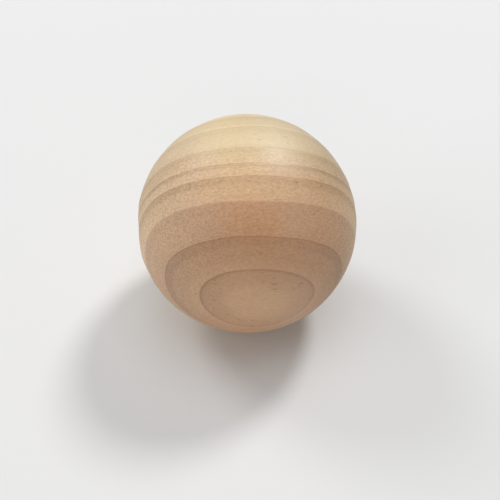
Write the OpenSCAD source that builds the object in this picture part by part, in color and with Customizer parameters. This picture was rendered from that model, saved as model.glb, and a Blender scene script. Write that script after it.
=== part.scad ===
// Turned wooden ball: one solid piece, with a small flat sanded at one end of the grain.
// The lathe axis runs along X and the origin is the centre of the round.

/* [Ball] */
// Diameter of the ball
ball_d = 50; // [30:1:100]

/* [End flat] */
// Diameter of the flat, where the ball was parted from the lathe and sanded
flat_d = 8.4; // [2:0.2:12]
// Radius that eases the rim of the flat into the round
rim_r = 10; // [1:0.5:15]

/* [Hidden] */
$fn = 180;

ball_r = ball_d / 2;
flat_r = flat_d / 2;
// The rim never takes more than half of the round's own radius
ease_r = min(rim_r, ball_r / 2);
// Height of the rim arc's centre, so that the arc touches both the round and the flat
ease_z = sqrt(pow(ball_r - ease_r, 2) - pow(flat_r, 2));
// Height of the flat above the centre
flat_z = ease_z + ease_r;
// Height at which the round passes into the rim arc
join_z = ease_z * ball_r / (ball_r - ease_r);

// Half of the section, to the right of the lathe axis, with the flat at the top
module half_section() {
    intersection() {
        circle(r = ball_r);
        translate([0, -ball_r]) square([ball_r, ball_r + join_z]);
    }
    intersection() {
        translate([flat_r, ease_z]) circle(r = ease_r);
        translate([0, ease_z]) square([ball_r, ease_r]);
    }
    square([flat_r, flat_z]);
}

// The ball lies with its lathe axis level and its flat towards -X
module ball() {
    color("burlywood")
        rotate([0, -90, 0])
            rotate_extrude()
                half_section();
}

ball();
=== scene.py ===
# A turned wooden ball that lies on a pale table, with its grain running from left to right.
import math

import bpy
from mathutils import Matrix, Vector


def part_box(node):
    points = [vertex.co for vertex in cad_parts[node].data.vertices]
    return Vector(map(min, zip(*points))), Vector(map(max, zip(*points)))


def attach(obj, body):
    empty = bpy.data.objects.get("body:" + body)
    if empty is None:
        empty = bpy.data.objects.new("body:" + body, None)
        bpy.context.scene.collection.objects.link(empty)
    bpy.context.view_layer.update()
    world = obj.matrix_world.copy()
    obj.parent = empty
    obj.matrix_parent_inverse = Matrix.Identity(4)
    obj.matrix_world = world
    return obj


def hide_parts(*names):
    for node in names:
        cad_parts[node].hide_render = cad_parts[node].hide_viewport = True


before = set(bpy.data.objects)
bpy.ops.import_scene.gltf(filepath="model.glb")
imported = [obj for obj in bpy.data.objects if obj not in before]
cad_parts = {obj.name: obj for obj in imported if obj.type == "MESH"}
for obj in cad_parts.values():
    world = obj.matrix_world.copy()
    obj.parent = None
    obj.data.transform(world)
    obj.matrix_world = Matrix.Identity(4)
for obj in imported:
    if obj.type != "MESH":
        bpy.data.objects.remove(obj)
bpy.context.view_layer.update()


# ---- The ball's shape ------------------------------------------------------------------------
# Solid light hardwood, turned with the grain along the lathe, parted off and sanded by hand. The
# end where it was parted off is a small flat with an eased rim. Sanding left the round a tenth of a
# millimetre or two uneven, and wore the soft early wood of each ring a little further down.

MM = 0.001
ball_low, ball_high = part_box("ball")
ball_r = ball_high[0] / MM
flat_at = -ball_low[0] / MM
rim_ease = 0.5
faces_per_side = 128
# How deep the hollows are that sanding left, in mm, and about how many there are to a radius
uneven_depth = 0.3
uneven_scale = 0.9
uneven_seed = 37.0
# How far the soft wood is worn down, in mm, and the part of a year's growth where that fades out
ring_relief = 0.04
wear_fades = (0.5, 0.95)

# The block was sawn from a log with the pith outside the ball, on its front. This is the grain's
# own frame: x along the fibres, y away from the pith, z across both, in mm from the middle
grain_turn = (math.radians(-2.0), math.radians(4.3), math.radians(6.8))
pith_to_middle = 65.0
# A ring is a slightly tapered barrel and not a true cylinder: mm per mm, and per mm squared
trunk_taper = 0.10
trunk_belly = 0.0047
# The growth rings that cross the ball, from the pith side to the bark side
first_ring_at = 36.9
ring_widths = (5.6, 4.6, 6.1, 5.1, 2.9, 4.0, 6.8, 5.2, 4.6, 5.4, 4.8, 5.0)
ring_count = len(ring_widths)
# They waver by up to this much either way, in waves of this length
ring_wander = 0.4
ring_wander_size = 22.0
# A bruise that the sanding left, in the grain's frame
pit_at = (1.5, -13.6, 20.9)
pit_reach = 0.7
pit_depth = 0.12

shape_sizes = {"Radius": ball_r, "Flat distance": flat_at, "Rim ease": rim_ease,
               "Unevenness": uneven_depth, "Unevenness scale": uneven_scale,
               "Unevenness seed": uneven_seed, "Ring relief": ring_relief,
               "Pit depth": pit_depth, "Pit reach": pit_reach}


def add(tree, kind, settings, inputs, output=0):
    """Adds a node, with its settings and with inputs that are values or links, and gives one output."""
    node = tree.nodes.new(kind)
    for name, value in settings.items():
        setattr(node, name, value)
    for key, value in inputs.items():
        if isinstance(value, bpy.types.NodeSocket):
            tree.links.new(value, node.inputs[key])
        else:
            node.inputs[key].default_value = value
    return node.outputs[output]


def growth(tree, place):
    """The log's radius in mm and its age in rings when the wood at a place was laid down."""
    parts = add(tree, "ShaderNodeSeparateXYZ", {}, {0: place}).node.outputs
    outward = add(tree, "ShaderNodeMath", {"operation": "ADD"}, {0: parts[1], 1: pith_to_middle})
    across = add(tree, "ShaderNodeCombineXYZ", {}, {0: outward, 1: parts[2]})
    from_pith = add(tree, "ShaderNodeVectorMath", {"operation": "LENGTH"}, {0: across}, "Value")
    belly = add(tree, "ShaderNodeMath", {"operation": "MULTIPLY_ADD"},
                {0: parts[0], 1: -trunk_belly, 2: trunk_taper})
    shaped = add(tree, "ShaderNodeMath", {"operation": "MULTIPLY_ADD"},
                 {0: parts[0], 1: belly, 2: from_pith})
    drift = add(tree, "ShaderNodeTexNoise", {},
                {"Vector": place, "Scale": 1 / ring_wander_size, "Detail": 2.0})
    wander = add(tree, "ShaderNodeMath", {"operation": "MULTIPLY_ADD"},
                 {0: drift, 1: 2 * ring_wander, 2: -ring_wander})
    radius = add(tree, "ShaderNodeMath", {"operation": "ADD"}, {0: shaped, 1: wander})
    span = sum(ring_widths)
    share = add(tree, "ShaderNodeMapRange", {},
                {0: radius, 1: first_ring_at, 2: first_ring_at + span, 3: 0.0, 4: 1.0})
    years = add(tree, "ShaderNodeFloatCurve", {}, {"Factor": 1.0, "Value": share})
    points = years.node.mapping.curves[0].points
    for ring in range(1, ring_count):
        points.new(sum(ring_widths[:ring]) / span, ring / ring_count)
    for point in points:
        point.handle_type = "VECTOR"
    years.node.mapping.update()
    age = add(tree, "ShaderNodeMath", {"operation": "MULTIPLY"}, {0: years, 1: float(ring_count)})
    return radius, age


def ball_shape_tree(wood):
    """A cube blown up into a ball, then flattened, worn and sanded by rules."""
    tree = bpy.data.node_groups.new("turned_ball_shape", "GeometryNodeTree")
    for name in shape_sizes:
        tree.interface.new_socket(name, in_out="INPUT", socket_type="NodeSocketFloat")
    tree.interface.new_socket("Geometry", in_out="OUTPUT", socket_type="NodeSocketGeometry")
    size = tree.nodes.new("NodeGroupInput").outputs
    side = faces_per_side + 1
    cube = add(tree, "GeometryNodeMeshCube", {}, {0: (2.0, 2.0, 2.0), 1: side, 2: side, 3: side})
    corner = add(tree, "GeometryNodeInputPosition", {}, {})
    # The tangent spaces the faces evenly once the cube is pushed out to a round
    turned = add(tree, "ShaderNodeVectorMath", {"operation": "SCALE"}, {0: corner, "Scale": math.pi / 4})
    even = add(tree, "ShaderNodeVectorMath", {"operation": "TANGENT"}, {0: turned})
    outward = add(tree, "ShaderNodeVectorMath", {"operation": "NORMALIZE"}, {0: even})

    # How far off the flat's plane is in each direction: the least value keeps it finite, and well
    # outside the ball, where the direction doesn't point at the flat
    along_lathe = add(tree, "ShaderNodeSeparateXYZ", {}, {0: outward})
    to_flat = add(tree, "ShaderNodeMath", {"operation": "MULTIPLY"}, {0: along_lathe, 1: -1.0})
    ahead = add(tree, "ShaderNodeMath", {"operation": "MAXIMUM"}, {0: to_flat, 1: 0.1})
    plane = add(tree, "ShaderNodeMath", {"operation": "DIVIDE"}, {0: size["Flat distance"], 1: ahead})
    turned_r = add(tree, "ShaderNodeMath", {"operation": "SMOOTH_MIN"},
                   {0: size["Radius"], 1: plane, 2: size["Rim ease"]})

    hollow = add(tree, "ShaderNodeTexNoise", {"noise_dimensions": "4D"},
                 {"Vector": outward, "W": size["Unevenness seed"],
                  "Scale": size["Unevenness scale"], "Detail": 0.0})
    sunk = add(tree, "ShaderNodeMath", {"operation": "MULTIPLY"}, {0: hollow, 1: size["Unevenness"]})
    sanded_r = add(tree, "ShaderNodeMath", {"operation": "SUBTRACT"}, {0: turned_r, 1: sunk})

    surface = add(tree, "ShaderNodeVectorMath", {"operation": "SCALE"}, {0: outward, "Scale": sanded_r})
    place = add(tree, "ShaderNodeVectorRotate", {"rotation_type": "EULER_XYZ", "invert": True},
                {"Vector": surface, "Rotation": grain_turn})
    season = add(tree, "ShaderNodeMath", {"operation": "FRACT"}, {0: growth(tree, place)[1]})
    soft = add(tree, "ShaderNodeMapRange", {"interpolation_type": "SMOOTHSTEP"},
               {0: season, 1: wear_fades[0], 2: wear_fades[1], 3: 1.0, 4: 0.0})
    worn = add(tree, "ShaderNodeMath", {"operation": "MULTIPLY"}, {0: soft, 1: size["Ring relief"]})
    from_pit = add(tree, "ShaderNodeVectorMath", {"operation": "DISTANCE"}, {0: place, 1: pit_at}, "Value")
    bruised = add(tree, "ShaderNodeMapRange", {"interpolation_type": "SMOOTHSTEP"},
                  {0: from_pit, 1: 0.0, 2: size["Pit reach"], 3: size["Pit depth"], 4: 0.0})
    lost = add(tree, "ShaderNodeMath", {"operation": "ADD"}, {0: worn, 1: bruised})
    final_r = add(tree, "ShaderNodeMath", {"operation": "SUBTRACT"}, {0: sanded_r, 1: lost})
    metres = add(tree, "ShaderNodeMath", {"operation": "MULTIPLY"}, {0: final_r, 1: MM})
    reached = add(tree, "ShaderNodeVectorMath", {"operation": "SCALE"}, {0: outward, "Scale": metres})

    ball = add(tree, "GeometryNodeSetPosition", {}, {"Geometry": cube, "Position": reached})
    smooth = add(tree, "GeometryNodeSetShadeSmooth", {}, {"Geometry": ball})
    real = add(tree, "GeometryNodeRealizeInstances", {}, {"Geometry": smooth})
    dressed = add(tree, "GeometryNodeSetMaterial", {}, {"Geometry": real, "Material": wood})
    tree.links.new(dressed, tree.nodes.new("NodeGroupOutput").inputs[0])
    return tree


# ---- The ball's wood -------------------------------------------------------------------------
# Light, close-grained hardwood, sanded fine and left bare. Its growth rings, fibres and pores are
# one solid pattern that runs through the ball from side to side, so they show as ovals on the
# front and the back, and as arcs of coarser end grain on the left and the right.

def linear(hex_colour):
    """An sRGB hex colour as linear red, green and blue, with alpha."""
    parts = [int(hex_colour[i:i + 2], 16) / 255 for i in (1, 3, 5)]
    return tuple(c / 12.92 if c <= 0.04045 else ((c + 0.055) / 1.055) ** 2.4 for c in parts) + (1.0,)


# From the pith side to the bark side, by the radius of the log in mm, the wood turns from pinkish
# tan to pale straw, with one clear step where the heartwood ends
wood_colours = ((38.0, "#DEB68E"), (42.0, "#D5A880"), (44.0, "#CB9B73"), (48.5, "#D0A078"),
                (53.1, "#D4A57E"), (53.3, "#DFB389"), (58.1, "#E1B98C"), (60.2, "#E7C59B"),
                (64.2, "#E2C69A"), (66.2, "#E8D1A8"), (71.9, "#E9D3AA"), (72.1, "#ECD8AE"),
                (73.0, "#E3CCA3"), (92.0, "#E2CBA0"))
late_wood_tint = "#D8CBC3"
cloud_tints = ((0.3, "#F8F6F4"), (0.7, "#FFFFFF"))
patch_tint = "#FFFAF4"
brown_tint = "#EEE1DB"
sheen_tint = "#FFF2D2"
# How strong the late wood of each ring is, ring by ring, and how dark a ring is through its year
late_wood_strength = (1.0, 0.95, 0.3, 0.95, 1.0, 0.48, 0.55, 0.85, 0.55, 0.7, 0.6, 0.6)
late_wood_course = ((0.0, 0.0), (0.3, 0.02), (0.64, 0.16), (0.75, 0.36), (0.9, 0.4), (0.95, 0.45),
                    (0.97, 0.72), (1.0, 0.72))
# How far from the middle the end grain begins and is full, in mm, and how much darker its rings are
end_grain_reach = (6.0, 19.0)
end_ring_boost = 0.8
# The log's radius where the pale wood begins and is full, in mm
pale_wood_reach = (56.0, 63.0)
# The reddish patch, in the grain's frame, with its full part and its whole reach in mm
patch_at = (-4.0, -18.5, 16.0)
patch_reach = (1.0, 8.0)
# How rich the colour is along the grain, by the share of the way from the flat to the far end
richness_course = ((0.0, 0.85), (0.18, 0.89), (0.3, 0.955), (0.42, 0.99), (0.58, 0.94), (0.76, 0.94),
                   (0.88, 0.9), (1.0, 0.87))
# Where painted shade on the right end begins and is darkest, in mm from the middle, and how dark it is
right_shade_reach = (1.0, 21.0)
right_end_painted_shade = 0.80
# The same for a slight shift in hue towards both ends, where 0.5 is no shift
hue_reach = (8.0, 22.0)
hue_course = (0.501, 0.508)

# The sizes of the patterns in mm, along the fibres and then across them both ways, except that a
# ray's are its spacing round the pith, its height outwards and its length along the fibres
cloud_size = (28.0, 11.0, 11.0)
fibre_size = (2.2, 0.33, 0.33)
ray_size = (0.42, 2.0, 0.83)
stipple_size = (0.77, 0.36, 0.36)
pore_spacing = (2.9, 0.77, 0.77)
# How much each one changes the shade. The stipple's strength goes by the colours' way across the
# log, and is greater on end grain
fibre_strength = 0.22
ray_strength = 0.08
stipple_course = ((0.0, 0.35), (0.08, 0.45), (0.2, 0.72), (0.44, 0.72), (0.53, 0.2), (1.0, 0.25))
end_stipple_boost = 0.45
# A pore is open by chance, and more often in late wood. Its radius and its soft edge are shares of
# the spacing. The bruise is darkened out to this many mm from its middle
pore_in_late_wood = 0.5
pore_chance = (0.5, 1.05)
pore_radius = (0.02, 0.30)
pore_edge = 0.14
pore_shade = 0.76
bruise_dark_reach = 0.55
bruise_darkest = 0.68
# The satin: a bare wood's roughness, with what fibres, late wood and end grain add or take
bare_roughness = 0.41
fibre_roughness = 0.12
late_wood_shine = 0.1
end_grain_roughness = 0.08
# How much deeper pores go than the rest of the grain, and how deep that is in mm
pore_relief = 0.6
grain_depth = 0.03


def sanded_wood():
    """Sanded light hardwood: a dry satin with soft rings, a fine stipple and short dark pores."""
    wood = bpy.data.materials.new("sanded_light_hardwood")
    wood.use_nodes = True
    tree = wood.node_tree
    tree.nodes.clear()
    object_place = add(tree, "ShaderNodeTexCoord", {}, {}, "Object")
    place = add(tree, "ShaderNodeMapping", {"vector_type": "TEXTURE"},
                {"Vector": object_place, "Rotation": grain_turn, "Scale": (MM, MM, MM)})
    radius, age = growth(tree, place)
    parts = add(tree, "ShaderNodeSeparateXYZ", {}, {0: place}).node.outputs
    from_middle = add(tree, "ShaderNodeMath", {"operation": "ABSOLUTE"}, {0: parts[0]})
    end_grain = add(tree, "ShaderNodeMapRange", {"interpolation_type": "SMOOTHSTEP"},
                    {0: from_middle, 1: end_grain_reach[0], 2: end_grain_reach[1], 3: 0.0, 4: 1.0})

    # The slow change of colour from one side of the log to the other
    first, last = wood_colours[0][0], wood_colours[-1][0]
    depth = add(tree, "ShaderNodeMapRange", {}, {0: radius, 1: first, 2: last, 3: 0.0, 4: 1.0})
    base = add(tree, "ShaderNodeValToRGB", {}, {0: depth})
    stops = base.node.color_ramp.elements
    stops[0].color = linear(wood_colours[0][1])
    stops[1].color = linear(wood_colours[-1][1])
    for at, shade in wood_colours[1:-1]:
        stops.new((at - first) / (last - first)).color = linear(shade)

    # Each ring darkens to its late wood, ends in a thin dark line and starts light again, most
    # plainly on the end grain
    season = add(tree, "ShaderNodeMath", {"operation": "FRACT"}, {0: age})
    late = add(tree, "ShaderNodeFloatCurve", {}, {"Factor": 1.0, "Value": season})
    year_share = add(tree, "ShaderNodeMath", {"operation": "DIVIDE"}, {0: age, 1: float(ring_count)})
    year = add(tree, "ShaderNodeValToRGB", {}, {0: year_share})
    year.node.color_ramp.interpolation = "CONSTANT"
    stops = year.node.color_ramp.elements
    stops[0].color = (late_wood_strength[0],) * 3 + (1.0,)
    stops[1].position = (ring_count - 1) / ring_count
    stops[1].color = (late_wood_strength[-1],) * 3 + (1.0,)
    for ring in range(1, ring_count - 1):
        stops.new(ring / ring_count).color = (late_wood_strength[ring],) * 3 + (1.0,)
    darkness = add(tree, "ShaderNodeMath", {"operation": "MULTIPLY"}, {0: late, 1: year})
    end_on = add(tree, "ShaderNodeMath", {"operation": "MULTIPLY_ADD"},
                 {0: end_grain, 1: end_ring_boost, 2: 1.0})
    shown = add(tree, "ShaderNodeMath", {"operation": "MULTIPLY"}, {0: darkness, 1: end_on})
    ringed = add(tree, "ShaderNodeMix", {"data_type": "RGBA", "blend_type": "MULTIPLY"},
                 {0: shown, 6: base, 7: linear(late_wood_tint)}, 2)

    # Broad clouds, where the wood took up more or less of its own stain
    cloud_place = add(tree, "ShaderNodeVectorMath", {"operation": "DIVIDE"}, {0: place, 1: cloud_size})
    cloud = add(tree, "ShaderNodeTexNoise", {}, {"Vector": cloud_place, "Scale": 1.0, "Detail": 3.0})
    cloud_tint = add(tree, "ShaderNodeValToRGB", {}, {0: cloud})
    stops = cloud_tint.node.color_ramp.elements
    for stop, (at, shade) in zip(stops, cloud_tints):
        stop.position = at
        stop.color = linear(shade)
    clouded = add(tree, "ShaderNodeMix", {"data_type": "RGBA", "blend_type": "MULTIPLY"},
                  {0: 1.0, 6: ringed, 7: cloud_tint}, 2)

    # A faint reddish patch on the front, and browner end grain in the pale wood
    from_patch = add(tree, "ShaderNodeVectorMath", {"operation": "DISTANCE"},
                     {0: place, 1: patch_at}, "Value")
    blush = add(tree, "ShaderNodeMapRange", {"interpolation_type": "SMOOTHSTEP"},
                {0: from_patch, 1: patch_reach[0], 2: patch_reach[1], 3: 1.0, 4: 0.0})
    blushed = add(tree, "ShaderNodeMix", {"data_type": "RGBA", "blend_type": "MULTIPLY"},
                  {0: blush, 6: clouded, 7: linear(patch_tint)}, 2)
    pale_wood = add(tree, "ShaderNodeMapRange", {"interpolation_type": "SMOOTHSTEP"},
                    {0: radius, 1: pale_wood_reach[0], 2: pale_wood_reach[1], 3: 0.0, 4: 1.0})
    pale_end = add(tree, "ShaderNodeMath", {"operation": "MULTIPLY"}, {0: pale_wood, 1: end_grain})
    browned = add(tree, "ShaderNodeMix", {"data_type": "RGBA", "blend_type": "MULTIPLY"},
                  {0: pale_end, 6: blushed, 7: linear(brown_tint)}, 2)

    # Along the grain the wood greys towards both ends, and painted shade darkens it towards the right one
    along = add(tree, "ShaderNodeMapRange", {}, {0: parts[0], 1: -ball_r, 2: ball_r, 3: 0.0, 4: 1.0})
    richness = add(tree, "ShaderNodeFloatCurve", {}, {"Factor": 1.0, "Value": along})
    # Painted shade: the colour darkens towards the right end
    value = add(tree, "ShaderNodeMapRange", {"interpolation_type": "SMOOTHSTEP"},
                {0: parts[0], 1: right_shade_reach[0], 2: right_shade_reach[1], 3: 1.0, 4: right_end_painted_shade})
    hue = add(tree, "ShaderNodeMapRange", {"interpolation_type": "SMOOTHSTEP"},
              {0: from_middle, 1: hue_reach[0], 2: hue_reach[1], 3: hue_course[0], 4: hue_course[1]})
    greyed = add(tree, "ShaderNodeHueSaturation", {},
                 {"Hue": hue, "Saturation": richness, "Value": value, "Color": browned})

    # Fibres are some 0.02 mm wide and are drawn as bundles of 0.3 mm, the finest that shows
    fibre_place = add(tree, "ShaderNodeVectorMath", {"operation": "DIVIDE"}, {0: place, 1: fibre_size})
    fibre = add(tree, "ShaderNodeTexNoise", {},
                {"Vector": fibre_place, "Scale": 1.0, "Detail": 2.0, "Roughness": 0.6})
    # Rays stand like thin walls that fan out from the pith, drawn 0.4 mm apart
    outward = add(tree, "ShaderNodeMath", {"operation": "ADD"}, {0: parts[1], 1: pith_to_middle})
    turned = add(tree, "ShaderNodeMath", {"operation": "ARCTAN2"}, {0: parts[2], 1: outward})
    ray_place = add(tree, "ShaderNodeCombineXYZ", {}, {0: turned, 1: outward, 2: parts[0]})
    ray_scale = add(tree, "ShaderNodeVectorMath", {"operation": "DIVIDE"},
                    {0: ray_place, 1: (ray_size[0] / pith_to_middle, ray_size[1], ray_size[2])})
    ray = add(tree, "ShaderNodeTexNoise", {}, {"Vector": ray_scale, "Scale": 1.0, "Detail": 1.0})
    # Cut cells, 0.05 mm across, leave a stipple, weak in the straw-coloured wood and strongest on
    # end grain. It is drawn 0.4 mm across, the finest that shows
    stipple_place = add(tree, "ShaderNodeVectorMath", {"operation": "DIVIDE"},
                        {0: place, 1: stipple_size})
    stipple = add(tree, "ShaderNodeTexNoise", {},
                  {"Vector": stipple_place, "Scale": 1.0, "Detail": 2.0, "Roughness": 0.75})
    coarse = add(tree, "ShaderNodeFloatCurve", {}, {"Factor": 1.0, "Value": depth})
    depth_of_cut = add(tree, "ShaderNodeMath", {"operation": "MULTIPLY_ADD"},
                       {0: end_grain, 1: end_stipple_boost, 2: coarse})
    # A noise is a half on average, so with these three the shade is 1 on average
    centred = add(tree, "ShaderNodeMath", {"operation": "SUBTRACT"}, {0: stipple, 1: 0.5})
    grit = add(tree, "ShaderNodeMath", {"operation": "MULTIPLY"}, {0: centred, 1: depth_of_cut})
    gritty = add(tree, "ShaderNodeMath", {"operation": "ADD"},
                 {0: grit, 1: 1.0 - 0.5 * (fibre_strength + ray_strength)})
    rayed = add(tree, "ShaderNodeMath", {"operation": "MULTIPLY_ADD"},
                {0: ray, 1: ray_strength, 2: gritty})
    grained = add(tree, "ShaderNodeMath", {"operation": "MULTIPLY_ADD"},
                  {0: fibre, 1: fibre_strength, 2: rayed})

    # Pores are open tubes, 0.1 mm wide and a few mm long, that show as short dark dashes, or as
    # dots on the end grain. They are drawn 0.3 mm wide, and more of them are open in late wood
    pore_place = add(tree, "ShaderNodeVectorMath", {"operation": "DIVIDE"},
                     {0: place, 1: pore_spacing})
    pore = add(tree, "ShaderNodeTexVoronoi", {"feature": "F1"},
               {"Vector": pore_place, "Scale": 1.0}).node
    chance = add(tree, "ShaderNodeSeparateColor", {}, {0: pore.outputs["Color"]})
    likely = add(tree, "ShaderNodeMath", {"operation": "MULTIPLY_ADD"},
                 {0: darkness, 1: pore_in_late_wood, 2: chance})
    wide = add(tree, "ShaderNodeMapRange", {},
               {0: likely, 1: pore_chance[0], 2: pore_chance[1], 3: pore_radius[0], 4: pore_radius[1]})
    inside = add(tree, "ShaderNodeMath", {"operation": "SUBTRACT"}, {0: wide, 1: pore.outputs["Distance"]})
    open_pore = add(tree, "ShaderNodeMapRange", {"interpolation_type": "SMOOTHSTEP"},
                    {0: inside, 1: 0.0, 2: pore_edge, 3: 0.0, 4: 1.0})
    pored = add(tree, "ShaderNodeMapRange", {}, {0: open_pore, 1: 0.0, 2: 1.0, 3: 1.0, 4: pore_shade})
    fine = add(tree, "ShaderNodeMath", {"operation": "MULTIPLY"}, {0: grained, 1: pored})

    # The bruise is darker towards its middle
    from_pit = add(tree, "ShaderNodeVectorMath", {"operation": "DISTANCE"}, {0: place, 1: pit_at}, "Value")
    bruise_dark = add(tree, "ShaderNodeMapRange", {"interpolation_type": "SMOOTHSTEP"},
               {0: from_pit, 1: 0.0, 2: bruise_dark_reach, 3: bruise_darkest, 4: 1.0})
    shade = add(tree, "ShaderNodeMath", {"operation": "MULTIPLY"}, {0: fine, 1: bruise_dark})
    colour = add(tree, "ShaderNodeVectorMath", {"operation": "SCALE"}, {0: greyed, "Scale": shade})

    # Late wood is denser and takes a little more shine, and end grain stays duller
    fibrous = add(tree, "ShaderNodeMath", {"operation": "MULTIPLY_ADD"},
                  {0: fibre, 1: fibre_roughness, 2: bare_roughness})
    dense = add(tree, "ShaderNodeMath", {"operation": "MULTIPLY_ADD"},
                {0: late, 1: -late_wood_shine, 2: fibrous})
    rough = add(tree, "ShaderNodeMath", {"operation": "MULTIPLY_ADD"},
                {0: end_grain, 1: end_grain_roughness, 2: dense})
    relief = add(tree, "ShaderNodeMath", {"operation": "MULTIPLY_ADD"},
                 {0: open_pore, 1: -pore_relief, 2: grained})
    bump = add(tree, "ShaderNodeBump", {},
               {"Strength": 0.5, "Distance": grain_depth * MM, "Height": relief})
    # The sheen is the fuzz of cut fibre ends, which catches light at a glancing angle
    skin = add(tree, "ShaderNodeBsdfPrincipled", {},
               {"Base Color": colour, "Roughness": rough, "Normal": bump, "IOR": 1.5,
                "Specular IOR Level": 0.5, "Sheen Weight": 0.09, "Sheen Roughness": 0.4,
                "Sheen Tint": linear(sheen_tint)})
    tree.links.new(skin, tree.nodes.new("ShaderNodeOutputMaterial").inputs["Surface"])

    # Each course is drawn into its curve, the two ends first
    for curve, course in ((late, late_wood_course), (richness, richness_course), (coarse, stipple_course)):
        points = curve.node.mapping.curves[0].points
        points[0].location = course[0]
        points[1].location = course[-1]
        for at, much in course[1:-1]:
            points.new(at, much)
        curve.node.mapping.update()
    return wood


# The blank is worked by the shape's rules, and the finished ball is a plain mesh
bpy.ops.mesh.primitive_cube_add()
blank = bpy.context.object
wood = sanded_wood()
turning = blank.modifiers.new("turning", "NODES")
turning.node_group = ball_shape_tree(wood)
for socket in turning.node_group.interface.items_tree:
    if socket.in_out == "INPUT":
        turning[socket.identifier] = shape_sizes[socket.name]
depsgraph = bpy.context.evaluated_depsgraph_get()
ball_mesh = bpy.data.meshes.new_from_object(blank.evaluated_get(depsgraph))
bpy.data.objects.remove(blank)
# The cube that the tree starts from brought an empty material slot along
ball_mesh.materials.pop(index=0)
ball_mesh.name = "wooden_ball"
ball = bpy.data.objects.new("wooden_ball", ball_mesh)
bpy.context.collection.objects.link(ball)
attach(ball, "root")
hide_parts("ball")


# ---- The table -------------------------------------------------------------------------------
# A plain board with a matt laminate that the ball lies on, which isn't part of the object. It
# gives the eye an even, almost white ground with next to no shine, so only the shadows show.

table_size = 8.0
table_z = min(vertex.co.z for vertex in ball_mesh.vertices)
bpy.ops.mesh.primitive_plane_add(size=table_size, location=(0, 0, table_z))
table = bpy.context.object
table.name = "table"
laminate = bpy.data.materials.new("matt_pale_laminate")
laminate.use_nodes = True
top_skin = laminate.node_tree.nodes["Principled BSDF"].inputs
top_skin["Base Color"].default_value = linear("#E8E8E8")
top_skin["Roughness"].default_value = 0.8
top_skin["Specular IOR Level"].default_value = 0.2
table.data.materials.append(laminate)


# ---- Light -----------------------------------------------------------------------------------
# Round softboxes in a dim pale room. Two stand behind the ball, one to each side, and throw its
# two shadows. One hangs overhead, and two weak ones fill in its left side and its front.

lamp_reach = 2.0


def lamp(name, azimuth, height, across, power):
    """A round softbox that faces the ball from a direction given in degrees."""
    data = bpy.data.lights.new(name, "AREA")
    data.shape = "DISK"
    data.size = across
    data.energy = power
    level = math.cos(math.radians(height))
    towards = Vector((math.cos(math.radians(azimuth)) * level,
                      math.sin(math.radians(azimuth)) * level,
                      math.sin(math.radians(height))))
    box = bpy.data.objects.new(name, data)
    box.location = towards * lamp_reach
    box.rotation_euler = towards.to_track_quat("Z", "Y").to_euler()
    bpy.context.collection.objects.link(box)


lamp("right_lamp", azimuth=46.5, height=51.3, across=0.45, power=16.8)
lamp("left_lamp", azimuth=136.6, height=39.2, across=0.8, power=10.7)
lamp("top_lamp", azimuth=0.0, height=90.0, across=1.6, power=9.1)
lamp("side_lamp", azimuth=195.0, height=30.0, across=1.5, power=5.5)
lamp("front_lamp", azimuth=260.0, height=14.0, across=1.5, power=4.3)

room = bpy.data.worlds.new("pale_room")
room.use_nodes = True
walls = room.node_tree.nodes["Background"].inputs
walls["Color"].default_value = linear("#FFFFFF")
walls["Strength"].default_value = 0.26
scene = bpy.context.scene
scene.world = room
scene.view_settings.view_transform = "Standard"


# ---- Camera ----------------------------------------------------------------------------------
# A hand-held view from 15 cm off, well above the ball and a little to its left. The ball's middle
# lies just above the middle of the view, and the horizon leans by a hair.

camera_height = math.radians(46.0)
camera_side = math.radians(7.0)
camera_roll = math.radians(2.0)
# The ball's middle as the camera has it, in mm: to its right, above it and behind it
ball_in_view = Vector((-0.73, 5.86, -149.9)) * MM

camera_data = bpy.data.cameras.new("camera")
camera_data.sensor_width = 36.0
camera_data.lens = 47.0
camera_data.clip_start = 0.01
camera = bpy.data.objects.new("camera", camera_data)
turn = (Matrix.Rotation(-camera_side, 4, "Z") @ Matrix.Rotation(math.pi / 2 - camera_height, 4, "X")
        @ Matrix.Rotation(camera_roll, 4, "Z"))
camera.matrix_world = Matrix.Translation(-(turn @ ball_in_view)) @ turn
bpy.context.collection.objects.link(camera)
scene.camera = camera
